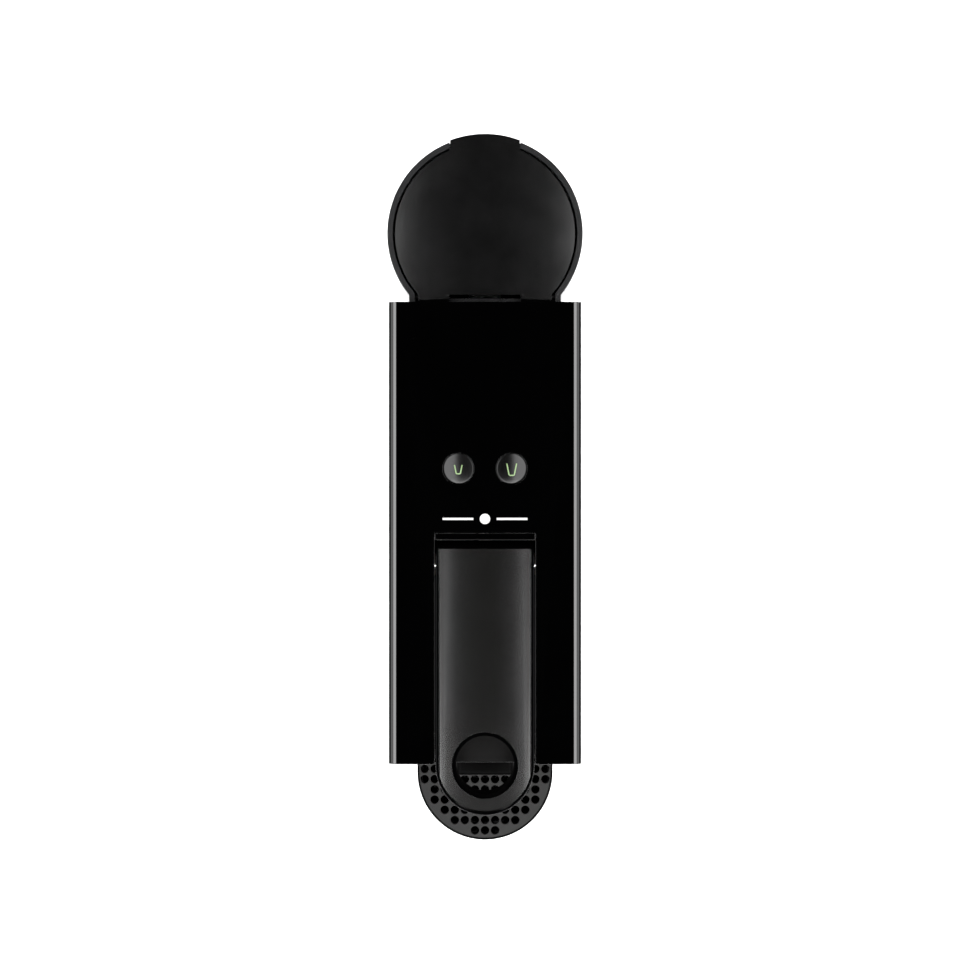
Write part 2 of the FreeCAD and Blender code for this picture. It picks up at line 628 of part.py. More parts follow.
def tank_coupling():
    """Spigot under the tank that opens its valve and takes the water away."""
    disc = rod("coupling_disc", ("0", "valve_y", "base_low+0.6"), "5.5", "5.5")
    pin = rod("coupling_pin", ("0", "valve_y", "8"), "1.6", "3.6")
    barb = rod("barb_solid", ("0", "valve_y-9", "hose_z"), "barb_radius", "6", "y")
    bore = rod("barb_bore", ("0", "valve_y-10", "hose_z"), "0.8", "8", "y")
    keep(cut("coupling_cut", fuse("coupling_solid", disc, pin, barb), bore), "tank_coupling")


# ---- lever and toggle linkage -----------------------------------------------------------------------------

REST_ANGLE = "asin((pivot_z-brew_z)/(crank_throw+link_length))"
CRANK_Y = f"(pivot_y-crank_throw*cos({REST_ANGLE}))"
CRANK_Z = f"(pivot_z-crank_throw*sin({REST_ANGLE}))"
LINK_Y = f"(pivot_y-(crank_throw+link_length)*cos({REST_ANGLE}))"


def lever_plan(inset, rear):
    """Plan of the lever: a bar with a round ring end."""
    half = f"(lever_width/2-({inset}))"
    return [(half, rear), (f"-{half}", rear), (f"-{half}", "ring_y"),
            (half, "ring_y", "0", "ring_y", "ccw")]


def lever_frame():
    """Gloss lever shell: side walls, a deck under the pad, a finger ring and a barrel about the hinge."""
    body = new_body("lever_frame")
    pad(body, "XY_Plane", "lever_base", "body_top-lever_base", lever_plan("0", "pivot_y"))
    pad(body, "YZ_Plane", "-lever_width/2", "lever_width", circle("pivot_y", "pivot_z", "barrel_radius"))
    inner = "(lever_width/2-lever_wall)"
    deck = "(body_top-pad_thick-0.2-1.2)"
    pocket(body, "XY_Plane", "lever_base-1", f"{deck}-lever_base+1", lever_plan("lever_wall", "pivot_y"))
    pad(body, "XY_Plane", "lever_base", f"{deck}-lever_base+0.1",
        circle("0", "ring_y", "finger_radius+lever_wall"))
    pocket(body, "XY_Plane", "lever_base-1", "body_top-lever_base+2",
           circle("0", "ring_y", "finger_radius-ring_step"))
    pocket(body, "YZ_Plane", f"-{inner}", f"2*{inner}",
           circle("pivot_y", "pivot_z", "barrel_radius-lever_wall"))
    pocket(body, "YZ_Plane", f"-{inner}", f"2*{inner}",
           rectangle("pivot_y-barrel_radius-1", "pivot_z-barrel_radius-1", "pivot_y+1", "pivot_z"))
    pocket(body, "YZ_Plane", f"-{inner}", f"2*{inner}",
           rectangle("pivot_y-1", "pivot_z-barrel_radius-1", "pivot_y+barrel_radius-2.5", "pivot_z-5.5"))
    pocket(body, "YZ_Plane", "-lever_width/2-1", "lever_width+2",
           circle("pivot_y", "pivot_z", "axle_radius+0.01"))
    pocket(body, "XY_Plane", "body_top-pad_thick-0.2", "pad_thick+1",
           lever_plan("pad_inset-0.1", "pivot_y+barrel_radius-3.2"))
    soften(body, "0.35", lambda e: at_rim(e))


def at_rim(edge):
    """Whether an edge lies on the lever's outer top rim."""
    box = edge.BoundBox
    top = abs(box.ZMax - amount("body_top")) < 1e-3 and abs(box.ZMin - amount("body_top")) < 1e-3
    wide = max(abs(box.XMax), abs(box.XMin)) > amount("lever_width/2") - 1e-3
    return top and wide and edge.Length > 30


def lever_pad():
    """Matt top insert, dished along its length, with the finger hole."""
    body = new_body("lever_pad")
    rear = "pivot_y+barrel_radius-3.4"
    pad(body, "XY_Plane", "body_top-pad_thick-0.1", "pad_thick", lever_plan("pad_inset", rear),
        circle("0", "ring_y", "finger_radius+0.3"))
    sag_radius = "150"
    pocket(body, "XZ_Plane", f"-({rear})-1", "110+30",
           circle("0", f"body_top-1.36+{sag_radius}", sag_radius))


def lever_axle():
    """Steel axle that the lever turns on."""
    keep(rod("axle", ("-24.4", "pivot_y", "pivot_z"), "axle_radius", "48.8", "x"), "lever_axle")


def lever_bushes():
    """Two plain bushes in the channel's walls."""
    bushes = []
    for number, start in enumerate((f"{CHANNEL}", f"-{CHANNEL}-3")):
        solid = rod(f"bush_solid_{number}", (start, "pivot_y", "pivot_z"), "5", "3", "x")
        bore = rod(f"bush_bore_{number}", (f"{start}-1", "pivot_y", "pivot_z"), "axle_radius+0.05", "5", "x")
        bushes.append(cut(f"bush_{number}", solid, bore))
    keep(group("bush_group", *bushes), "lever_bushes")


def plate_between(name, low, high, near, far, radii):
    """A link plate with two round ends, from x=low to x=high."""
    body = doc.addObject("Part::Feature", name)
    (y0, z0), (y1, z1) = [(amount(a), amount(b)) for a, b in (near, far)]
    r0, r1 = radii
    span = math.hypot(y1 - y0, z1 - z0)
    heading = math.atan2(z1 - z0, y1 - y0)
    spread = math.acos((r0 - r1) / span)
    start = amount(low)

    def on(y, z, radius, angle):
        return Vector(start, y + radius * math.cos(angle), z + radius * math.sin(angle))
    upper, lower = heading + spread, heading - spread
    edges = [Part.LineSegment(on(y0, z0, r0, upper), on(y1, z1, r1, upper)).toShape(),
             Part.Arc(on(y1, z1, r1, upper), on(y1, z1, r1, heading), on(y1, z1, r1, lower)).toShape(),
             Part.LineSegment(on(y1, z1, r1, lower), on(y0, z0, r0, lower)).toShape(),
             Part.Arc(on(y0, z0, r0, lower), on(y0, z0, r0, heading + math.pi),
                      on(y0, z0, r0, upper)).toShape()]
    body.Shape = Part.Face(Part.Wire(edges)).extrude(Vector(amount(high) - start, 0, 0))
    return body


def crank_yoke():
    """Steel yoke pressed on the axle: a hub and two arms that reach down to the crank pin."""
    hub = rod("yoke_hub", ("-arm_out", "pivot_y", "pivot_z"), "6", "2*arm_out", "x")
    arms = [plate_between(f"yoke_arm_{n}", low, high, ("pivot_y", "pivot_z"), (CRANK_Y, CRANK_Z), (6.0, 4.6))
            for n, (low, high) in enumerate((("arm_in", "arm_out"), ("-arm_out", "-arm_in")))]
    bores = [rod("yoke_bore", ("-30", "pivot_y", "pivot_z"), "axle_radius+0.01", "60", "x"),
             rod("yoke_pin_bore", ("-30", CRANK_Y, CRANK_Z), "pin_radius+0.01", "60", "x")]
    keep(cut("yoke", fuse("yoke_body", hub, *arms), *bores), "crank_yoke")


def crank_pin():
    """Pin through the yoke's arms that the links swing on."""
    keep(rod("crank_rod", ("-link_out-0.2", CRANK_Y, CRANK_Z), "pin_radius", "2*(link_out+0.2)", "x"),
         "crank_pin")


def toggle_links():
    """Pair of steel links from the crank pin to the capsule cage."""
    plates = []
    for number, (low, high) in enumerate((("link_in", "link_out"), ("-link_out", "-link_in"))):
        plate = plate_between(f"link_plate_{number}", low, high, (CRANK_Y, CRANK_Z), (LINK_Y, "brew_z"),
                              (4.8, 4.2))
        eye = rod(f"link_eye_{number}", (f"{low}-1", CRANK_Y, CRANK_Z), "pin_radius+0.08", "5", "x")
        seat = rod(f"link_seat_{number}", (f"{low}-1", LINK_Y, "brew_z"), "2.01", "5", "x")
        plates.append(cut(f"link_{number}", plate, eye, seat))
    keep(group("link_group", *plates), "toggle_links")


def link_pins():
    """Stub pins at the links' front ends, which push and pull the cage."""
    pins = [rod(f"stub_{n}", (start, LINK_Y, "brew_z"), "2", "4.0", "x")
            for n, start in enumerate(("link_out-4.0", "-link_out"))]
    keep(group("stub_group", *pins), "link_pins")


# ---- brew unit --------------------------------------------------------------------------------------------

def capsule_cage():
    """Moving chamber for the capsule, with a runner and a groove for the link pins on each side."""
    drum = rod("cage_drum", ("0", "cage_front", "brew_z"), "cage_radius", "cage_rear-cage_front", "y")
    runners = [block(f"cage_runner_{n}", (low, "cage_rear-16", "147.2"), (f"{low}+5", "cage_rear+16", "155"))
               for n, low in enumerate(("-16", "11"))]
    tail = block("cage_tail", ("-16", "cage_rear-6", "147.2"), ("16", "cage_rear-1", "155"))
    cup = taper("cage_cup", ("0", "cage_front-0.01", "brew_z"), "cup_mouth", "cup_base", "cup_depth", "y")
    port = rod("cage_port", ("0", "cage_front", "brew_z"), "9.1", "60", "y")
    groove = [block(f"cage_groove_{n}", (low, f"{LINK_Y}-7.1", "brew_z-3.3"),
                    (f"{low}+4", f"{LINK_Y}+6.1", "brew_z+3.3")) for n, low in enumerate(("14.6", "-18.6"))]
    bed = cut("cage_bed", rod("bed_solid", ("0", "cage_front-0.5", "brew_z"), "cage_radius+1", "2.1", "y"),
              rod("bed_core", ("0", "cage_front-1", "brew_z"), "cup_mouth", "4", "y"))
    keep(cut("cage", fuse("cage_solid", drum, *runners, tail), cup, port, *groove, bed), "capsule_cage")


def cage_seal():
    """Soft ring at the cage's mouth."""
    ring = cut("seal_ring", rod("seal_solid", ("0", "cage_front-0.4", "brew_z"), "cage_radius", "1.95", "y"),
               rod("seal_bore", ("0", "cage_front-2", "brew_z"), "cup_mouth+0.05", "6", "y"))
    keep(ring, "cage_seal")


def needle_plate():
    """Water inlet plate at the back of the cage, with three piercing needles and a hose barb."""
    plate = rod("needle_disc", ("0", "cage_rear-4", "brew_z"), "9.05", "4.1", "y")
    flange = rod("needle_flange", ("0", "cage_rear+0.05", "brew_z"), "11", "2", "y")
    barb = rod("needle_barb", ("0", "cage_rear+1.9", "brew_z"), "2.4", "6", "y")
    needles = []
    for number in range(3):
        turn = f"(90+120*{number})"
        spot = (f"4.5*cos({turn})", "cage_rear-9", f"brew_z+4.5*sin({turn})")
        needles.append(taper(f"needle_{number}", spot, "0.15", "1", "5.1", "y"))
    bore = rod("needle_bore", ("0", "cage_rear-3", "brew_z"), "1.4", "14", "y")
    keep(cut("needles_cut", fuse("needles_solid", plate, flange, barb, *needles), bore), "needle_plate")


def brew_frame():
    """Fixed frame of the brew unit: two cheeks, a front wall and the rails that the cage runs on."""
    cheeks = [block(f"cheek_{n}", (low, "body_front+4", "144"),
                    (f"{low}+(frame_out-frame_in)", "-10", "181.6"))
              for n, low in enumerate(("frame_in", "-frame_out"))]
    front = block("brew_front", ("-frame_out", "body_front+4", "144"),
                  ("frame_out", "body_front+6.4", "181.6"))
    rails = [block(f"rail_{n}", (low, "cage_rear-16", "144"), (f"{low}+11", "-12", "146.9"))
             for n, low in enumerate(("-20.6", "9.6"))]
    bar = block("brew_bar", ("-frame_out", "-12.4", "136"), ("frame_out", "-10", "158"))
    foot = block("brew_foot", ("-frame_out", "-12.4", "134.1"), ("frame_out", "4", "136.5"))
    pass_hole = rod("brew_pass", ("0", "-14", "150"), "5", "8", "y")
    outlet = rod("brew_outlet", ("0", "body_front+3", "brew_z-10"), "3", "6", "y")
    plate_hole = rod("brew_plate_hole", ("0", "body_front+3", "brew_z"), "5", "6", "y")
    solid = fuse("brew_solid", *cheeks, front, *rails, bar, foot)
    keep(cut("brew_cut", solid, pass_hole, outlet, plate_hole), "brew_frame")


def extraction_plate():
    """Fixed plate with raised studs that opens the capsule's foil."""
    disc = rod("extract_disc", ("0", "body_front+6.5", "brew_z"), "17", "3", "y")
    studs = []
    for column in range(-2, 3):
        for line in range(-2, 3):
            spot = (f"{column}*4-0.9", "body_front+9.4", f"brew_z+{line}*4-0.9")
            studs.append(block(f"stud_{column + 2}_{line + 2}", spot,
                               (f"{column}*4+0.9", "body_front+10.6", f"brew_z+{line}*4+0.9")))
    spigot = rod("extract_spigot", ("0", "body_front+4.2", "brew_z"), "4.8", "2.5", "y")
    keep(fuse("extract_solid", disc, *studs, spigot), "extraction_plate")


def capsule_chute():
    """Chute that leads a spent capsule into the bin, with the wall that closes the column above it."""
    body = new_body("capsule_chute")
    slope = [("body_front+11.2", "143.6"), ("body_front+13.2", "143.6"), ("column_front+2", "133"),
             ("column_front+2", "bin_top+1"), ("column_front+0.1", "bin_top+1"),
             ("column_front+0.1", "131.4")]
    pad(body, "YZ_Plane", "-24", "48", slope)
    wall = rectangle("-bin_half-0.6", "bin_top+1", "bin_half+0.6", "head_base-seam")
    pad(body, "XZ_Plane", "-column_front-2", "1.9", wall)
    cheek = [("body_front+11.2", "143.6"), ("-62", "143.6"), ("-62", "bin_top+1"),
             ("column_front+0.1", "bin_top+1"), ("column_front+0.1", "131.4")]
    pad(body, "YZ_Plane", "24", "1.6", cheek)
    pad(body, "YZ_Plane", "-25.6", "1.6", cheek)


def coffee_outlet():
    """Outlet block in front of the head, tapering down to two pouring lips."""
    body = new_body("coffee_outlet")
    side = [("body_front+3.6", "spout_top"), ("spout_front+2", "spout_top"),
            ("spout_front", "spout_top-2", "spout_front+2", "spout_top-2", "ccw"),
            ("spout_front", "head_base+4"), ("spout_front+4", "spout_base"), ("body_front+0.5", "spout_base"),
            ("body_front+3.6", "head_base-6")]
    pad(body, "YZ_Plane", "-spout_half", "2*spout_half", side)
    soften(body, "2.4", lambda e: along(e, "z") and at(e, "y", "spout_front"))
    outer = [circle(f"{sign}4", "spout_front+8.2", "2.2") for sign in ("", "-")]
    pocket(body, "XY_Plane", "spout_base-1", "brew_z-spout_base-6", *outer)
    throat = rectangle("-7.5", "brew_z-13", "7.5", "brew_z-7")
    pocket(body, "XZ_Plane", "-body_front-4.6", "9", throat)


def microswitch():
    """Switch that tells the board whether the lever is shut."""
    case = block("switch_case", ("24.6", "-34", "174"), ("31", "-14", "184"))
    blade = block("switch_blade", ("26.6", "-33", "184.6"), ("29", "-16", "185"))
    knob = rod("switch_knob", ("27.8", "-28", "183.9"), "0.9", "0.8")
    plate = block("switch_plate", ("frame_out+0.1", "-34", "174"), ("24.7", "-14", "178"))
    keep(fuse("switch_solid", case, blade, knob, plate), "lever_switch")


# ---- buttons ----------------------------------------------------------------------------------------------

# each button's side, and its cup's width at the brim, width at the foot and height
CUPS = {"espresso": ("-", 4.0, 2.3, 4.0), "lungo": ("", 5.3, 3.0, 5.5)}


def cup_outline(kind, grow):
    """Flared cup seen from the side: two walls and a floor of one stroke's width."""
    _, brim, foot, high = CUPS[kind]
    top, low = f"({high}/2-0.25+({grow}))", f"(-{high}/2-0.25-({grow}))"
    floor = f"({low}+glyph_stroke+2*({grow}))"
    outer_top, outer_low = f"({brim}/2+({grow}))", f"({foot}/2+({grow}))"
    inner_top = f"({brim}/2-glyph_stroke-({grow}))"
    inner_low = f"({foot}/2-glyph_stroke*0.8-({grow}))"
    return [(f"-{outer_top}", top), (f"-{outer_low}", low), (outer_low, low), (outer_top, top),
            (inner_top, top), (inner_low, floor), (f"-{inner_low}", floor), (f"-{inner_top}", top)]


def button(kind):
    """Round cap with a low dome, a stop flange, a plunger and a recess for its light pipe."""
    body = new_body(f"{kind}_button")
    drop = "(body_top-skin-0.3)"
    middle = "(body_top+0.2-button_dome)"
    edge = f"{middle}+sqrt(button_dome*button_dome-button_radius*button_radius)"
    outline = [("0", "board_z+7.4"), ("2", "board_z+7.4"), ("2", f"{drop}-1.2"),
               ("button_flange", f"{drop}-1.2"), ("button_flange", drop), ("button_radius", drop),
               ("button_radius", edge), ("0", "body_top+0.2", "0", middle, "ccw")]
    revolve(body, outline)
    pocket(body, "XY_Plane", "body_top-0.6", "2", cup_outline(kind, "0.02"))
    put(body, f"{CUPS[kind][0]}button_x", "button_y", "0")


def glyph(kind):
    """Light pipe that fills the cap's recess: the outline of a cup, small or large."""
    body = new_body(f"{kind}_glyph")
    pad(body, "XY_Plane", "body_top-0.58", "0.45", cup_outline(kind, "0"))
    put(body, f"{CUPS[kind][0]}button_x", "button_y", "0")


def button_springs():
    """Return springs under the two caps."""
    for kind, (side, *_) in CUPS.items():
        coil_spring(f"{kind}_spring", f"{side}button_x", "button_y", "board_z+1.65", "body_top-skin-1.55",
                    5.4, 0.35, 5)


def button_board():
    """Small board under the buttons: two switches and two lamps."""
    board = block("key_board", ("-24", "button_y-12", "board_z"), ("24", "button_y+12", "board_z+1.6"))
    items = []
    for number, (side, lamp) in enumerate((("-", "-9"), ("", "6.5"))):
        items.append(block(f"tact_{number}", (f"{side}button_x-3", "button_y-3", "board_z+1.5"),
                           (f"{side}button_x+3", "button_y+3", "board_z+5")))
        items.append(rod(f"tact_stem_{number}", (f"{side}button_x", "button_y", "board_z+4.9"), "1.5", "1"))
        items.append(block(f"lamp_{number}", (f"{side}button_x+({lamp})", "button_y-1.2", "board_z+1.5"),
                           (f"{side}button_x+({lamp})+2.5", "button_y+1.2", "board_z+3")))
    plug = block("key_plug", ("-6", "button_y+6", "board_z+1.5"), ("6", "button_y+11", "board_z+6"))
    keep(fuse("key_solid", board, *items, plug), "button_board")


# ---- water tank -------------------------------------------------------------------------------------------

def water_tank():
    """Open drum with a floor, a lowered front edge for the lid's hinge and a notch for its tab."""
    body = new_body("water_tank")
    pad(body, "XY_Plane", "tank_base", "tank_top-tank_base", tank_outline())
    pocket(body, "XY_Plane", "tank_base+tank_wall", "tank_top-tank_base", tank_outline("tank_wall"))
    neck = "(neck_half-tank_wall)"
    pocket(body, "XY_Plane", "hinge_z-hinge_radius-0.6", "20",
           rectangle(f"-{neck}", "neck_front-1", neck, "neck_front+tank_wall+0.5"))
    pocket(body, "XY_Plane", "tank_top-lid_thick-0.3", "20",
           rectangle("-tab_half-0.3", "tank_y+30", "tab_half+0.3", "tank_y+tank_radius+2"))
    pocket(body, "YZ_Plane", "-50", "100", circle("hinge_y", "hinge_z", "0.98"))
    pocket(body, "XY_Plane", "tank_base-1", "tank_wall+2", circle("0", "valve_y", "5.2"))
    soften(body, "0.5", lambda e: abs(e.BoundBox.ZMin - amount("tank_base")) < 1e-3
           and abs(e.BoundBox.ZMax - amount("tank_base")) < 1e-3 and e.Length > 40)


def tank_valve():
    """Housing of the valve in the tank's floor, with a bore for the poppet's stem."""
    flange = rod("valve_flange", ("0", "valve_y", "tank_base-4.05"), "6.8", "4")
    barrel = rod("valve_barrel", ("0", "valve_y", "tank_base-0.1"), "5.1", "8")
    bore = rod("valve_bore", ("0", "valve_y", "tank_base-5"), "3.2", "20")
    keep(cut("valve_cut", fuse("valve_body", flange, barrel), bore), "tank_valve")


def valve_poppet():
    """Poppet held open by the coupling's pin while the tank stands on its seat."""
    head = rod("poppet_head", ("0", "valve_y", "tank_base+10.3"), "4.4", "1.6")
    stem = rod("poppet_stem", ("0", "valve_y", "tank_base-2.2"), "1.2", "12.6")
    keep(fuse("poppet_solid", head, stem), "valve_poppet")


def valve_seal():
    """Flat ring under the valve's flange."""
    ring = rod("valve_seal_solid", ("0", "valve_y", "tank_base-5.1"), "6.8", "1")
    bore = rod("valve_seal_bore", ("0", "valve_y", "tank_base-6"), "3.2", "3")
    keep(cut("valve_seal_cut", ring, bore), "valve_seal")


def valve_cap():
    """Slotted cap over the valve inside the tank, which backs the spring."""
    low = "(tank_base+tank_wall)"
    wall = rod("valve_cap_wall", ("0", "valve_y", f"{low}+0.05"), "8.4", "19")
    space = rod("valve_cap_space", ("0", "valve_y", low), "6.4", "17.6")
    across = block("valve_gap_x", ("-10", "valve_y-2.5", f"{low}+4"), ("10", "valve_y+2.5", f"{low}+15"))
    deep = block("valve_gap_y", ("-2.5", "valve_y-10", f"{low}+4"), ("2.5", "valve_y+10", f"{low}+15"))
    keep(cut("valve_cap_cut", wall, space, across, deep), "valve_cap")


def valve_spring():
    """Spring that shuts the valve when the tank is lifted."""
    coil_spring("valve_spring", "0", "valve_y", "tank_base+12", "tank_base+19.8", 3.2, 0.35, 3.5)


def tank_lid():
    """Matt lid, crowned from side to side, with a rear finger tab and two hinge ears at the front."""
    body = new_body("tank_lid")
    low = "tank_top-lid_thick"
    front = "(hinge_y+0.9)"
    half = f"sqrt(lid_radius*lid_radius-(tank_y-{front})*(tank_y-{front}))"
    tab = "(tank_y+sqrt(lid_radius*lid_radius-tab_half*tab_half))"
    outline = [(half, front), ("tab_half", tab, "0", "tank_y", "ccw"),
               ("tab_half", "tank_y+sqrt(tab_reach*tab_reach-tab_half*tab_half)"),
               ("-tab_half", "tank_y+sqrt(tab_reach*tab_reach-tab_half*tab_half)", "0", "tank_y", "ccw"),
               ("-tab_half", tab), (f"-{half}", front, "0", "tank_y", "ccw")]
    pad(body, "XY_Plane", low, "lid_thick+0.3", outline)
    for low_x in ("15.4", "-28.6"):
        pad(body, "YZ_Plane", low_x, "13.2", circle("hinge_y", "hinge_z", "hinge_radius"))
    middle = "(tank_top-0.02-lid_crown)"
    edge = f"{middle}+sqrt(lid_crown*lid_crown-40*40)"
    above = [("40", "tank_top+1"), ("-40", "tank_top+1"), ("-40", edge), ("40", edge, "0", middle, "cw")]
    pocket(body, "XZ_Plane", "-tank_y-tank_radius-1", "2*tank_radius", above)
    pocket(body, "YZ_Plane", "-50", "100", circle("hinge_y", "hinge_z", "0.91"))


def lid_pins():
    """Two short hinge pins, from the lid's ears into the tank's walls."""
    pins = [rod(f"lid_pin_{n}", (start, "hinge_y", "hinge_z"), "0.9", "16", "x")
            for n, start in enumerate(("16", "-32"))]
    keep(group("lid_pin_group", *pins), "lid_pins")


# ---- drip drawer ------------------------------------------------------------------------------------------

def stadium(inset, rear):
    """Plan of the drip tray: straight sides with a round front."""
    half = f"(tray_radius-({inset}))"
    return [(half, rear), (f"-{half}", rear), (f"-{half}", "tray_y"), (half, "tray_y", "0", "tray_y", "ccw")]


def drip_tray():
    """Round-fronted cup base that catches drips, with a rear shelf for the capsule bin."""
    body = new_body("drip_tray")
    rear = "(column_front-0.5)"
    pad(body, "XY_Plane", "tray_low", "rim_top-tray_low", stadium("0", rear))
    ledge = "(grid_top-grid_thick-0.05)"
    pocket(body, "XY_Plane", "tray_low+tray_wall", "rim_top", stadium("tray_wall", f"{rear}-tray_wall"))
    pocket(body, "XY_Plane", ledge, "10", stadium("rim_wall", f"{rear}-1"))
    pad(body, "XY_Plane", "shelf_low", "shelf_thick",
        rectangle("-bin_half", f"{rear}-0.5", "bin_half", "bin_rear"))
    rails = [rectangle("bin_half-1.2", f"{rear}+0.5", "bin_half+0.6", "bin_rear"),
             rectangle("-bin_half-0.6", f"{rear}+0.5", "-bin_half+1.2", "bin_rear")]
    pad(body, "XY_Plane", "shelf_low", "shelf_thick+0.2", *rails)
    soften(body, "1.0", lambda e: abs(e.BoundBox.ZMax - amount("tray_low")) < 1e-3 and e.Length > 40
           and e.BoundBox.YMax < amount("column_front"))


def hole_rows():
    """Centres of the grid's holes: a nearly square pitch, kept inside the round front."""
    pitch, rows, limit = SIZES["hole_pitch"], SIZES["row_pitch"], SIZES["hole_limit"]
    rear = amount("column_front") - 4.5
    centres = []
    for line in range(-6, 12):
        y = amount("tray_y") + 1.6 + line * rows
        for column in range(-6, 7):
            x = column * pitch
            beyond = min(0.0, y - amount("tray_y"))
            if math.hypot(x, beyond) <= limit and y < rear:
                centres.append((x, y))
    return centres


def cup_grid():
    """Perforated plate that the cup stands on."""
    body = new_body("cup_grid")
    pad(body, "XY_Plane", "grid_top-grid_thick", "grid_thick", stadium("rim_wall+0.25", "column_front-1.8"))
    soften(body, "0.25", lambda e: abs(e.BoundBox.ZMin - amount("grid_top")) < 1e-3)
    sketch = sketch_on(body, "XY_Plane", "grid_top-grid_thick-1")
    radius = amount("hole_size/2")
    for x, y in hole_rows():
        number = sketch.addGeometry(Part.Circle(Vector(x, y, 0), Vector(0, 0, 1), radius), False)
        size = sketch.addConstraint(Sketcher.Constraint("Radius", number, radius))
        sketch.setExpression(f"Constraints[{size}]", linked("hole_size/2"))
    feature = body.newObject("PartDesign::Pocket", "cup_grid_holes")
    feature.Profile = sketch
    feature.Reversed = True
    bind(feature, Length="grid_thick+2")
    doc.recompute()


def capsule_bin():
    """Open bin for spent capsules; its front wall closes the column above the tray."""
    body = new_body("capsule_bin")
    low = "(shelf_low+shelf_thick+0.3)"
    pad(body, "XY_Plane", low, f"bin_top-{low}", rectangle("-bin_half", "bin_front", "bin_half", "bin_rear"))
    soften(body, "2", lambda e: along(e, "z"))
    pocket(body, "XY_Plane", f"{low}+bin_wall", "bin_top",
           rectangle("-bin_half+bin_wall", "bin_front+bin_wall", "bin_half-bin_wall", "bin_rear-bin_wall"))


# ---- the assembly -----------------------------------------------------------------------------------------

top_cover()
top_mark()
side_panel("left_panel", "-")
side_panel("right_panel", "+")
for build in (rear_cover, front_cover, head_underside, slot_frame, hinge_strip, base_plate, tank_seat,
              rubber_feet, base_screws, cord_gland, chassis, pump, pump_mounts, pump_bracket, flow_meter,
              thermoblock, standoffs, thermostats, control_board, water_hoses, brew_hose, tank_coupling,
              lever_frame, lever_pad, lever_axle, lever_bushes, crank_yoke, crank_pin, toggle_links,
              link_pins, capsule_cage, cage_seal, needle_plate, brew_frame, extraction_plate, capsule_chute,
              coffee_outlet, microswitch, button_springs, button_board, water_tank, tank_valve,
              valve_poppet, valve_seal, valve_cap, valve_spring, tank_lid, lid_pins, drip_tray, cup_grid,
              capsule_bin):
    build()
for kind in CUPS:
    button(kind)
    glyph(kind)
doc.recompute()

for item in doc.Objects:
    if "Invalid" in item.State or "Error" in item.State:
        raise RuntimeError(f"{item.Name}: {item.State}")
for item in subparts:
    if item.Shape.isNull() or not item.Shape.isValid():
        raise RuntimeError(f"{item.Label} has no valid shape")
for item in subparts:
    item.Shape.exportStep(f"parts/{item.Label}.step")
    print(item.Label, len(item.Shape.Solids), round(item.Shape.Volume))
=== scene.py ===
"""Looks of the slim pod coffee machine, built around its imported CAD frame.

Lengths are in metres in the frame's own axes: X to the machine's right, Y to the rear, Z up.
"""
import bmesh
import bpy
import math
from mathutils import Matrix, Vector


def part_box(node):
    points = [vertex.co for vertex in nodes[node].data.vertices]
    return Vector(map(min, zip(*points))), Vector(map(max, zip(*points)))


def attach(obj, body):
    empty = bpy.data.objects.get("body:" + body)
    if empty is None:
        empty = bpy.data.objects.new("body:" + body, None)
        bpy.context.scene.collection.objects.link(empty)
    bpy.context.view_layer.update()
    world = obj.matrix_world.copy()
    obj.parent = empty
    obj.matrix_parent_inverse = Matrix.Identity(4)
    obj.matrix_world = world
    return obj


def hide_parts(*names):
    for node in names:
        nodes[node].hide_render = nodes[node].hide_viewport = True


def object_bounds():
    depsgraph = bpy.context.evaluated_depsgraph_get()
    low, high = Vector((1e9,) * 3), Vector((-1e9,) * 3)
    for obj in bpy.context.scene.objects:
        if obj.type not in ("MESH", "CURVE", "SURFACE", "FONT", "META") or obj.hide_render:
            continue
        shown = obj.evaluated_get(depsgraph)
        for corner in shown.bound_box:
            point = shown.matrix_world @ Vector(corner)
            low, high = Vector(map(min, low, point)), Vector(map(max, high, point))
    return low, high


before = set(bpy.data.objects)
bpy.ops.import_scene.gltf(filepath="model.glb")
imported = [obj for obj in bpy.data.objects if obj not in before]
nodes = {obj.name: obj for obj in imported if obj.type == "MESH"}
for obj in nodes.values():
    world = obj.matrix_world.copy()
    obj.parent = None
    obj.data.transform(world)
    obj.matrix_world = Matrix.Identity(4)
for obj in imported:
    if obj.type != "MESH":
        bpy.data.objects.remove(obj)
cad_low, cad_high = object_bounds()

MM = 0.001

# ---- camera -----------------------------------------------------------------------------------------------

SENSOR_WIDTH, FOCAL_LENGTH = 36.0, 65.43     # mm
CAMERA_PLACE = (0.0, 0.0139, 0.954)          # straight above the machine, looking down

camera = bpy.data.objects.new("camera", bpy.data.cameras.new("camera"))
camera.data.sensor_width = SENSOR_WIDTH
camera.data.lens = FOCAL_LENGTH
camera.location = CAMERA_PLACE
bpy.context.scene.collection.objects.link(camera)
bpy.context.scene.camera = camera
bpy.context.scene.view_settings.view_transform = "Standard"


# ---- node helpers -----------------------------------------------------------------------------------------

MIX_FIRST, MIX_SECOND, MIX_RESULT = 6, 7, 2     # a Mix node's colour sockets
CELLS_PER_METRE = 1000.0                        # noise scale at a cell of 1 mm
CLOUD_SCALE, SMUDGE_SCALE = 38.0, 90.0          # mottling of colour and of roughness, cells per metre
DARKER, LIGHTER = 0.86, 1.16                    # how far the mottling moves the colour
PLASTIC_IOR = 1.5
SMOOTHEST = 0.01                                # least roughness any finish may have
WORN_SHARE = 0.55                               # how much of the worn colour an edge takes
EDGE_START, EDGE_FULL = 0.52, 0.62              # pointiness at which wear starts and is full
HAIRLINE_SCALE, HAIRLINE_STRETCH = 900.0, (1.0, 0.03, 1.0)
BRUSHED_SCALE, BRUSHED_STRETCH = 2500.0, (0.02, 1.0, 1.0)


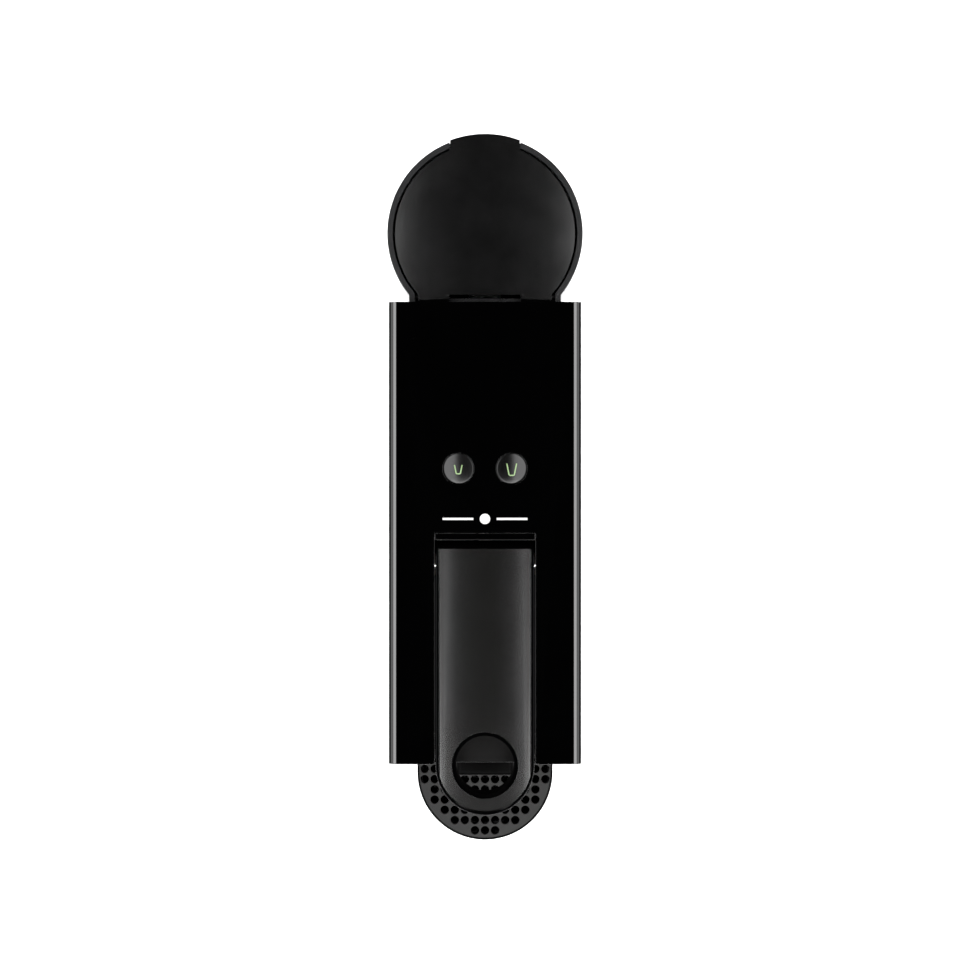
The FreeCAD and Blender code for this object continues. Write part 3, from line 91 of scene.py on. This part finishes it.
class Tree:
    """A short way to write the shader nodes of a material or a world."""

    def __init__(self, owner):
        owner.use_nodes = True
        self.tree = owner.node_tree
        self.tree.nodes.clear()

    def node(self, kind, inputs=(), **settings):
        made = self.tree.nodes.new(kind)
        for name, value in settings.items():
            setattr(made, name, value)
        for name, value in dict(inputs).items():
            self.feed(made.inputs[name], value)
        return made

    def feed(self, socket, value):
        """Gives an input socket a constant, or links another node's output to it."""
        if isinstance(value, bpy.types.NodeSocket):
            self.tree.links.new(value, socket)
        else:
            socket.default_value = value

    def noise(self, scale, detail=2.0, stretch=(1, 1, 1), rough=0.5):
        """Noise in the object's own coordinates, scale in cells per metre."""
        place = self.node("ShaderNodeTexCoord").outputs["Object"]
        spot = self.node("ShaderNodeMapping", {"Vector": place, "Scale": stretch}).outputs["Vector"]
        made = self.node("ShaderNodeTexNoise", {"Vector": spot, "Scale": scale, "Detail": detail,
                                                "Roughness": rough})
        return made.outputs["Fac"]

    def ranged(self, value, low, high, start=0.3, stop=0.7):
        """Maps a 0 to 1 pattern to a range."""
        made = self.node("ShaderNodeMapRange", {"Value": value, "From Min": start, "From Max": stop,
                                                "To Min": low, "To Max": high})
        return made.outputs["Result"]

    def mixed(self, factor, first, second):
        """Blend of two colours; a Mix node's colour sockets come after its number and vector ones."""
        made = self.node("ShaderNodeMix", data_type="RGBA")
        self.feed(made.inputs["Factor"], factor)
        self.feed(made.inputs[MIX_FIRST], first)
        self.feed(made.inputs[MIX_SECOND], second)
        return made.outputs[MIX_RESULT]

    def bumped(self, height, depth, normal=None):
        """Surface normal bent by a height pattern that is depth mm deep, on top of an earlier bump if any."""
        inputs = {"Strength": 1.0, "Distance": depth * MM, "Height": height}
        if normal is not None:
            inputs["Normal"] = normal
        return self.node("ShaderNodeBump", inputs).outputs["Normal"]


def rgba(colour):
    return (*colour, 1.0)


def shade(colour, factor):
    return tuple(min(1.0, c * factor) for c in colour)


def plastic(name, colour, rough, spread=0.03, grain=0.0, grain_size=0.25, scratches=0.0, wear=1.5,
            specular=0.5, metallic=0.0, sheen=0.0, transmission=0.0, brushed=0.0):
    """Moulded or metal surface: mottled colour, uneven roughness, moulded grain, faint hairlines, lighter
    worn edges. grain, scratches and brushed are depths in mm, and grain_size is the grain's cell in mm."""
    material = bpy.data.materials.new(name)
    t = Tree(material)
    cloud = t.noise(CLOUD_SCALE, 3.0)
    base = t.mixed(t.ranged(cloud, 0.0, 1.0), rgba(shade(colour, DARKER)), rgba(shade(colour, LIGHTER)))
    edge = t.node("ShaderNodeNewGeometry").outputs["Pointiness"]
    worn = t.ranged(edge, 0.0, WORN_SHARE, EDGE_START, EDGE_FULL)
    base = t.mixed(worn, base, rgba(shade(colour, wear)))
    smudge = t.noise(SMUDGE_SCALE, 4.0, rough=0.6)
    roughness = t.ranged(smudge, max(SMOOTHEST, rough - spread), rough + spread)
    normal = None
    if grain:
        normal = t.bumped(t.noise(CELLS_PER_METRE / grain_size), grain, normal)
    if scratches:
        normal = t.bumped(t.noise(HAIRLINE_SCALE, stretch=HAIRLINE_STRETCH), scratches, normal)
    if brushed:
        normal = t.bumped(t.noise(BRUSHED_SCALE, stretch=BRUSHED_STRETCH), brushed, normal)
    inputs = {"Base Color": base, "Roughness": roughness, "Metallic": metallic, "IOR": PLASTIC_IOR,
              "Specular IOR Level": specular, "Sheen Weight": sheen, "Transmission Weight": transmission}
    if normal is not None:
        inputs["Normal"] = normal
    surface = t.node("ShaderNodeBsdfPrincipled", inputs)
    t.node("ShaderNodeOutputMaterial", {"Surface": surface.outputs["BSDF"]})
    return material


FINISHES = {
    "gloss_black": plastic("gloss_black", (0.0001, 0.0001, 0.00011), 0.035, 0.012, scratches=0.0002,
                           wear=1.6, specular=0.4),
    "lever_gloss": plastic("lever_gloss", (0.0002, 0.0002, 0.00022), 0.05, 0.012, scratches=0.0002,
                           wear=1.6, specular=0.06),
    "outlet_black": plastic("outlet_black", (0.0002, 0.0002, 0.0002), 0.5, 0.04, grain=0.002, specular=0.02),
    "side_black": plastic("side_black", (0.004, 0.004, 0.0042), 0.2, 0.04, grain=0.002, wear=1.8),
    "matte_black": plastic("matte_black", (0.0006, 0.0006, 0.00062), 0.15, 0.015, grain=0.0004,
                           grain_size=0.35, specular=0.33),
    "lever_grey": plastic("lever_grey", (0.0007, 0.00068, 0.0006), 0.13, 0.004, grain=0.0003,
                          grain_size=0.3, specular=1.0),
    "slot_grey": plastic("slot_grey", (0.0007, 0.0007, 0.00065), 0.4, 0.05, grain=0.003, specular=0.03),
    "grid_grey": plastic("grid_grey", (0.0036, 0.0036, 0.0034), 0.4, 0.05, grain=0.004, grain_size=0.4,
                         specular=0.09),
    "mark_grey": plastic("mark_grey", (0.24, 0.24, 0.235), 0.35, 0.05, wear=1.0, specular=0.2),
    "key_black": plastic("key_black", (0.0002, 0.0002, 0.0002), 0.19, 0.02, scratches=0.0002, specular=0.17),
    "glyph_green": plastic("glyph_green", (0.056, 0.088, 0.034), 0.3, 0.05, wear=1.1, specular=0.3),
    "tank_smoke": plastic("tank_smoke", (0.012, 0.012, 0.0125), 0.16, 0.03, wear=1.3, transmission=0.6),
    "valve_plastic": plastic("valve_plastic", (0.35, 0.36, 0.37), 0.4, 0.05, grain=0.003),
    "rubber_black": plastic("rubber_black", (0.02, 0.02, 0.02), 0.75, 0.08, grain=0.01, sheen=0.15),
    "silicone_grey": plastic("silicone_grey", (0.7, 0.71, 0.71), 0.4, 0.06, grain=0.004, transmission=0.2),
    "steel": plastic("steel", (0.56, 0.57, 0.58), 0.24, 0.06, metallic=1.0, brushed=0.001, wear=1.2),
    "zinc_sheet": plastic("zinc_sheet", (0.5, 0.51, 0.52), 0.38, 0.08, metallic=1.0, grain=0.004,
                          grain_size=2.5, wear=1.2),
    "bronze": plastic("bronze", (0.3, 0.2, 0.1), 0.5, 0.06, metallic=1.0, grain=0.006, wear=1.2),
    "pump_plastic": plastic("pump_plastic", (0.05, 0.055, 0.075), 0.42, 0.06, grain=0.004),
    "meter_white": plastic("meter_white", (0.74, 0.74, 0.71), 0.35, 0.05, grain=0.003, wear=1.1),
    "cast_alu": plastic("cast_alu", (0.62, 0.63, 0.64), 0.45, 0.08, metallic=1.0, grain=0.02, wear=1.2),
    "board_green": plastic("board_green", (0.02, 0.14, 0.06), 0.3, 0.06, grain=0.003, wear=1.4),
    "brew_plastic": plastic("brew_plastic", (0.01, 0.01, 0.011), 0.45, 0.06, grain=0.006,
                            grain_size=0.5, specular=0.15),
    "switch_black": plastic("switch_black", (0.015, 0.015, 0.017), 0.4, 0.05, grain=0.003),
}


# ---- the CAD nodes that stay: finish, softened edges ------------------------------------------------------

def slot_of(item):
    """The record's slot of a CAD node, from its imported material's name."""
    return item.data.materials[0].name.split(".")[0]


WELD_REACH = 0.002       # mm, between corners that are one point
FLAT_ANGLE = 0.15        # degrees, between triangles of one flat face
SHARP_ANGLE = 32.0       # degrees, from which an edge is rounded
NORMAL_WEIGHT = 60


def soften(item, width):
    """Merges the tessellation's flat triangles and rounds the sharp edges, width in mm."""
    weld = item.modifiers.new("weld", "WELD")
    weld.merge_threshold = WELD_REACH * MM
    flat = item.modifiers.new("flat", "DECIMATE")
    flat.decimate_type = "DISSOLVE"
    flat.angle_limit = math.radians(FLAT_ANGLE)
    bevel = item.modifiers.new("bevel", "BEVEL")
    bevel.width = width * MM
    bevel.segments = 2
    bevel.limit_method = "ANGLE"
    bevel.angle_limit = math.radians(SHARP_ANGLE)
    bevel.use_clamp_overlap = True
    even = item.modifiers.new("even", "WEIGHTED_NORMAL")
    even.weight = NORMAL_WEIGHT


# width of the softened edges in mm; a node that isn't named keeps its CAD edges
EDGES = {"top_cover": 0.12, "left_panel": 0.25, "right_panel": 0.25, "rear_cover": 0.25, "front_cover": 0.25,
         "head_underside": 0.25, "slot_frame": 0.08, "hinge_strip": 0.15, "base_plate": 0.2, "tank_seat": 0.4,
         "rubber_feet": 0.3, "cord_gland": 0.25, "coffee_outlet": 0.15, "lever_frame": 0.2,
         "lever_pad": 0.2, "water_tank": 0.1, "tank_lid": 0.15, "drip_tray": 0.08, "cup_grid": 0.08,
         "capsule_bin": 0.3, "capsule_chute": 0.25}

# nodes whose finish differs from their slot's
OWN_FINISH = {"lever_frame": "lever_gloss", "coffee_outlet": "outlet_black"}

for name, item in nodes.items():
    item.data.materials[0] = FINISHES[OWN_FINISH.get(name, slot_of(item))]
    if name in EDGES:
        soften(item, EDGES[name])


# ---- buttons: a low dome that leans outward, and a cup drawn on it -----------------------------------------

# all in mm
DOME = 40.0                             # the dome's radius of curvature
LEAN_IN, LEAN_BACK = 3.2, 3.2           # how far the dome's apex lies towards the machine's middle and rear
TOP_HEIGHT = cad_high[2] / MM
APEX = TOP_HEIGHT - 0.05
KEY_RADIUS, KEY_ROUND = 6.4, 0.12       # the cap and its rim's rounding
DOME_RADII = (0.8, 1.6, 2.4, 3.2, 4.0, 4.8, 5.4, 5.9)
RIM_ANGLES = (0, 22.5, 45, 67.5, 90)    # degrees round the rim
FLANGE_TOP = TOP_HEIGHT - 2.9           # the flange stops the cap from rising out of the cover
FLANGE_RADIUS, FLANGE_THICK = 7.8, 1.2
PLUNGER_RADIUS = 2.0
KEY_SIDES = 96


def circle_points(radius, sides):
    """Evenly spaced places round a circle."""
    turns = [2 * math.pi * k / sides for k in range(sides)]
    return [(radius * math.cos(turn), radius * math.sin(turn)) for turn in turns]


def turned_faces(mesh, tip, loops):
    """Faces of a turned shape: a fan from the tip to the first loop, then a band between each two loops."""
    for k, point in enumerate(loops[0]):
        following = (k + 1) % len(loops[0])
        mesh.faces.new((tip, point, loops[0][following]))
        for inner, outer in zip(loops, loops[1:]):
            mesh.faces.new((inner[k], outer[k], outer[following], inner[following]))


def smooth_object(name, mesh, material):
    """Turns a bmesh into a smooth-shaded object in the scene."""
    data = bpy.data.meshes.new(name)
    mesh.to_mesh(data)
    mesh.free()
    for face in data.polygons:
        face.use_smooth = True
    data.materials.append(material)
    item = bpy.data.objects.new(name, data)
    bpy.context.scene.collection.objects.link(item)
    return item


def smooth_piece(name, mesh, slot, body, *replaced):
    """Turns a bmesh in mm into a piece of the machine, with its finish and its body, and hides the CAD nodes
    it stands for.
    """
    bmesh.ops.recalc_face_normals(mesh, faces=mesh.faces)
    bmesh.ops.scale(mesh, vec=(MM, MM, MM), verts=mesh.verts)
    item = smooth_object(name, mesh, FINISHES[slot])
    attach(item, body)
    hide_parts(*replaced)
    return item


def dome_height(x, y, side):
    """Height of the leaning dome at a place measured from the button's middle, all in mm."""
    across, along = x + side * LEAN_IN, y - LEAN_BACK
    return APEX - DOME + math.sqrt(DOME * DOME - across * across - along * along)


def key_cap(kind, side, middle, low):
    """Round cap: the dome, a rounded rim, a skirt, a stop flange and a plunger that ends at height low."""
    on_dome = [(radius, 0.0) for radius in DOME_RADII]
    on_dome += [(KEY_RADIUS - KEY_ROUND * (1 - math.sin(angle)), KEY_ROUND * (1 - math.cos(angle)))
                for angle in map(math.radians, RIM_ANGLES)]
    flange_low = FLANGE_TOP - FLANGE_THICK
    level = [(KEY_RADIUS, FLANGE_TOP), (FLANGE_RADIUS, FLANGE_TOP), (FLANGE_RADIUS, flange_low),
             (PLUNGER_RADIUS, flange_low), (PLUNGER_RADIUS, low)]
    mesh = bmesh.new()
    tip = mesh.verts.new((middle[0], middle[1], dome_height(0.0, 0.0, side)))
    loops = []
    for radius, below in on_dome:
        loops.append([mesh.verts.new((middle[0] + x, middle[1] + y, dome_height(x, y, side) - below))
                      for x, y in circle_points(radius, KEY_SIDES)])
    for radius, height in level:
        loops.append([mesh.verts.new((middle[0] + x, middle[1] + y, height))
                      for x, y in circle_points(radius, KEY_SIDES)])
    turned_faces(mesh, tip, loops)
    mesh.faces.new(loops[-1])
    return smooth_piece(f"{kind}_cap", mesh, "key_black", f"{kind}_key", f"{kind}_button")


# the cup mark, in mm; a section point is (share of the stroke's width, share of its height)
STROKE, MARK_HEIGHT = 0.56, 0.05
CORNER_REACH, CORNER_STEPS = 0.55, 6
POINT_SPACING = 0.35
MARK_BACK = 0.25         # how far the mark's middle lies in front of the button's
MARK_SECTION = ((-0.5, -0.12), (-0.5, 0.3), (-0.38, 0.8), (-0.2, 1.0),
                (0.2, 1.0), (0.38, 0.8), (0.5, 0.3), (0.5, -0.12))


def cup_line(brim, foot, high):
    """Closely spaced points along a cup's outline with rounded corners, from one brim to the other."""
    top, base = high / 2 - MARK_BACK, -high / 2 - MARK_BACK
    half_top, half_base = brim / 2 - STROKE / 2, foot / 2 - STROKE / 2
    path = [Vector((-half_top, top)), Vector((-half_base, base)),
            Vector((half_base, base)), Vector((half_top, top))]
    line = [path[0]]
    for before, corner, after in zip(path, path[1:], path[2:]):
        start = corner + (before - corner).normalized() * CORNER_REACH
        stop = corner + (after - corner).normalized() * CORNER_REACH
        for k in range(CORNER_STEPS + 1):
            f = k / CORNER_STEPS
            line.append(start * (1 - f) ** 2 + corner * 2 * f * (1 - f) + stop * f ** 2)
    line.append(path[-1])
    spread = []
    for a, b in zip(line, line[1:]):
        parts = max(1, round((b - a).length / POINT_SPACING))
        spread += [a.lerp(b, k / parts) for k in range(parts)]
    return spread + [line[-1]]


def cup_mark(kind, side, middle, brim, foot, high):
    """Outline of a cup, a rounded ribbon laid on the dome: two flared walls and a floor."""
    line = cup_line(brim, foot, high)
    mesh = bmesh.new()
    loops = []
    for number, point in enumerate(line):
        ahead = line[min(number + 1, len(line) - 1)] - line[max(number - 1, 0)]
        across = Vector((-ahead.y, ahead.x)).normalized()
        loop = []
        for offset, rise in MARK_SECTION:
            spot = point + across * (offset * STROKE)
            loop.append(mesh.verts.new((middle[0] + spot.x, middle[1] + spot.y,
                                        dome_height(spot.x, spot.y, side) + rise * MARK_HEIGHT)))
        loops.append(loop)
    for one, two in zip(loops, loops[1:]):
        for k in range(len(MARK_SECTION)):
            following = (k + 1) % len(MARK_SECTION)
            mesh.faces.new((one[k], one[following], two[following], two[k]))
    mesh.faces.new(loops[0])
    mesh.faces.new(loops[-1])
    return smooth_piece(f"{kind}_cup", mesh, "glyph_green", f"{kind}_key", f"{kind}_glyph")


# kind, side of the machine it is on, and the cup's width at the brim, width at the foot and height in mm
CUPS = (("espresso", -1, 3.8, 2.3, 3.75), ("lungo", 1, 4.75, 2.7, 5.1))

for kind, side, brim, foot, high in CUPS:
    low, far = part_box(f"{kind}_button")
    middle = ((low[0] + far[0]) / 2 / MM, (low[1] + far[1]) / 2 / MM)
    key_cap(kind, side, middle, low[2] / MM)
    cup_mark(kind, side, middle, brim, foot, high)


# ---- room -------------------------------------------------------------------------------------------------

FLOOR_RINGS = ((0.6, 0.0), (1.5, 0.0), (3.0, 0.0), (4.2, 0.12), (5.0, 0.55), (5.4, 1.3))    # radius, height
FLOOR_SIDES = 48
FLOOR_SHADES = (0.6, 0.63)
FLOOR_CLOUDS = 3.0       # cells per metre


def floor():
    """A wide pale sheet that curls up all round, far from the object."""
    mesh = bmesh.new()
    centre = mesh.verts.new((0.0, 0.0, 0.0))
    loops = [[mesh.verts.new((x, y, height)) for x, y in circle_points(radius, FLOOR_SIDES)]
             for radius, height in FLOOR_RINGS]
    turned_faces(mesh, centre, loops)
    material = bpy.data.materials.new("floor")
    t = Tree(material)
    paper = t.mixed(t.noise(FLOOR_CLOUDS), *(rgba((grey, grey, grey)) for grey in FLOOR_SHADES))
    surface = t.node("ShaderNodeBsdfPrincipled", {"Base Color": paper, "Roughness": 0.9,
                                                  "Specular IOR Level": 0.1})
    t.node("ShaderNodeOutputMaterial", {"Surface": surface.outputs["BSDF"]})
    item = smooth_object("floor", mesh, material)


def soft_light(name, place, aim, size, power):
    """A rectangular soft box at a place, facing a point."""
    data = bpy.data.lights.new(name, "AREA")
    data.shape = "RECTANGLE"
    data.size, data.size_y = size
    data.energy = power
    item = bpy.data.objects.new(name, data)
    item.location = place
    item.rotation_euler = (Vector(aim) - Vector(place)).to_track_quat("-Z", "Y").to_euler()
    bpy.context.scene.collection.objects.link(item)


TOP = Vector((0.0, 0.0, 0.2))           # about the middle of the machine's top
LIGHT_REACH = 1.1
# name, tilt from the vertical in degrees, size in metres, power in watts; one of each on either side
SIDE_LIGHTS = (("upper", 29.0, (1.9, 0.62), 41.0), ("lower", 62.0, (1.9, 0.6), 11.0))
FRONT_OFFSET = Vector((0.0, -0.61, 0.92))
FRONT_SIZE, FRONT_POWER = (0.8, 0.34), 16.0


def around(side, tilt, reach):
    """A place seen from the machine's top at an angle from the vertical, in degrees."""
    lean = math.radians(tilt)
    return TOP + Vector((side * math.sin(lean), 0.0, math.cos(lean))) * reach


floor()
for side in (-1, 1):
    for name, tilt, size, power in SIDE_LIGHTS:
        soft_light(f"{name}_{side}", around(side, tilt, LIGHT_REACH), TOP, size, power)
soft_light("front", TOP + FRONT_OFFSET, TOP, FRONT_SIZE, FRONT_POWER)

# the room glows softly from the sides and is dark overhead
SIDE_GLOW, OVERHEAD_GLOW = 0.3, 0.0
GLOW_FADE_START, GLOW_FADE_END = 0.35, 0.8      # height of the direction, 0 level and 1 straight up

world = bpy.data.worlds.new("room")
bpy.context.scene.world = world
sky = Tree(world)
heading = sky.node("ShaderNodeTexCoord").outputs["Generated"]
up = sky.node("ShaderNodeSeparateXYZ", {"Vector": heading}).outputs["Z"]
strength = sky.ranged(up, SIDE_GLOW, OVERHEAD_GLOW, GLOW_FADE_START, GLOW_FADE_END)
glow = sky.node("ShaderNodeBackground", {"Strength": strength}).outputs["Background"]
sky.node("ShaderNodeOutputWorld", {"Surface": glow})
